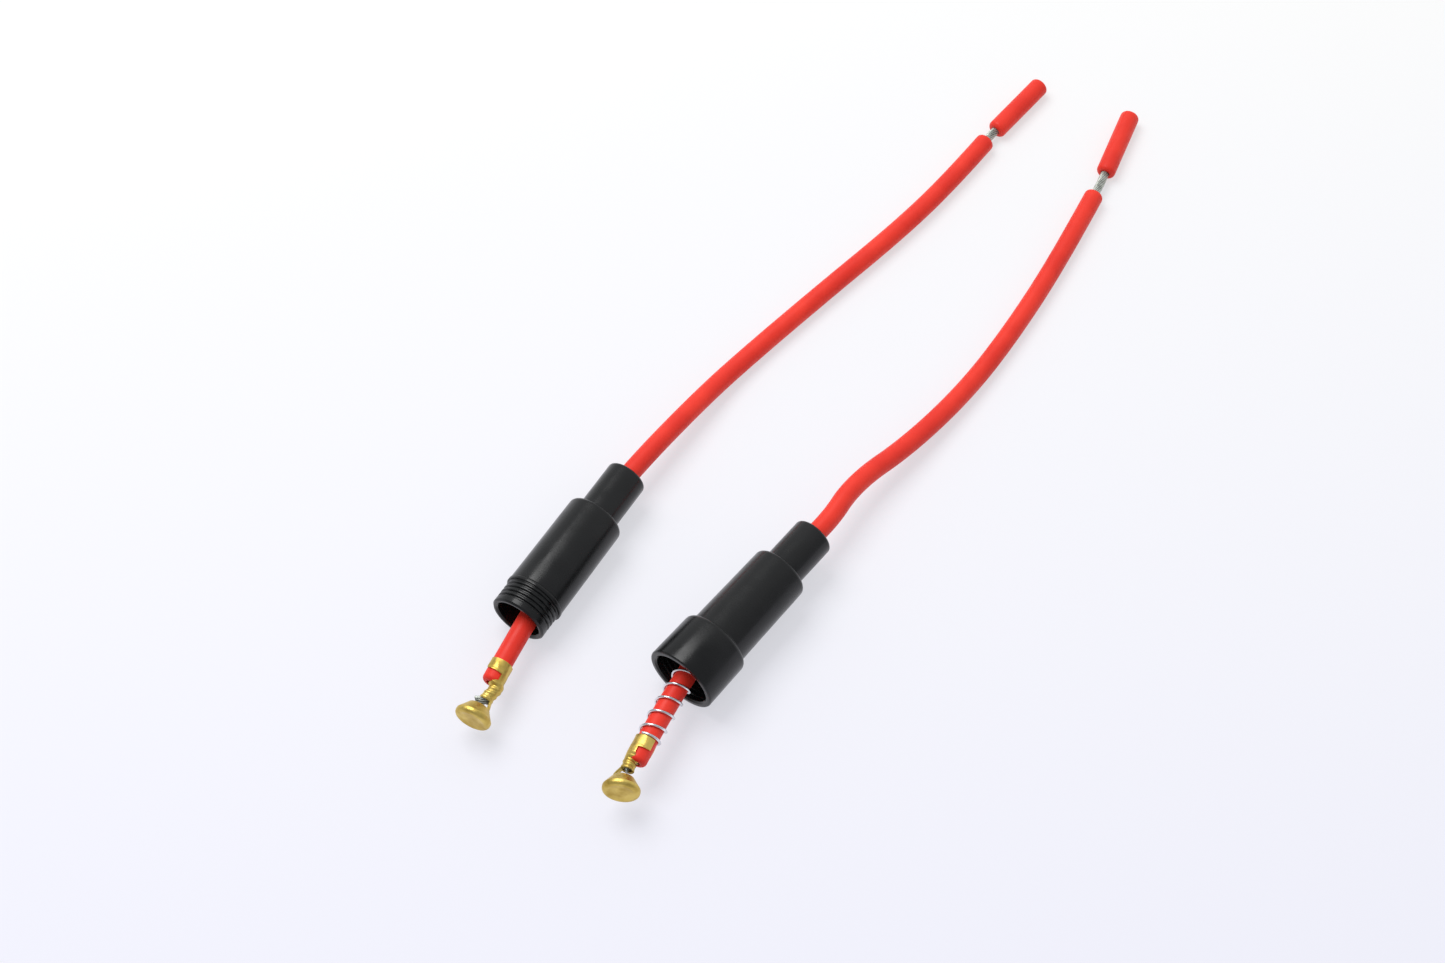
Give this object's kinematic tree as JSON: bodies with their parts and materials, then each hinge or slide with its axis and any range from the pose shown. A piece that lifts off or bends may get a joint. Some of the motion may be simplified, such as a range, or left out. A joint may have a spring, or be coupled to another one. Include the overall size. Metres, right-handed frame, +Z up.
{
  "type": "inline fuse holder",
  "caption": "Inline holder for a glass tube fuse, unscrewed: two black housings slide on red leads with crimped brass contacts, one of them sprung.",
  "frame": {"origin": "on the surface that the halves lie on, under the middle of the box of the two housings, the contacts and the spring; the free leads are not counted", "axes": "+Z up; both halves lie flat with their contacts towards -X -Y and their leads running off towards +X +Y"},
  "size_m": [0.1243, 0.1536, 0.0131],
  "materials": {
    "black_plastic": "moulded, satin gloss",
    "brass": "stamped, bright",
    "red_insulation": "extruded, smooth",
    "tinned_copper": "twisted tinned strands",
    "spring_steel": "bright plated wire"
  },
  "bodies": {
    "leads": {"male_contact": "brass", "male_lead_insulation": "red_insulation", "male_lead_conductor": "tinned_copper", "male_lead_slug": "red_insulation", "female_contact": "brass", "contact_spring": "spring_steel", "female_lead_insulation": "red_insulation", "female_lead_conductor": "tinned_copper", "female_lead_slug": "red_insulation"},
    "male_shell": {"male_housing": "black_plastic"},
    "female_shell": {"female_housing": "black_plastic"}
  },
  "joints": [
    {"name": "male_shell_slide", "type": "hinge", "parent": "leads", "child": "male_shell", "pos_m": [0.17973, -0.09486, 0.00553], "axis": [0, 0, 1], "range_deg": [0, 10.35]},
    {"name": "female_shell_slide", "type": "hinge", "parent": "leads", "child": "female_shell", "pos_m": [0.126, -0.08325, 0.00658], "axis": [0, 0, 1], "range_deg": [0, 16.8], "deforming": ["contact_spring"]}
  ]
}
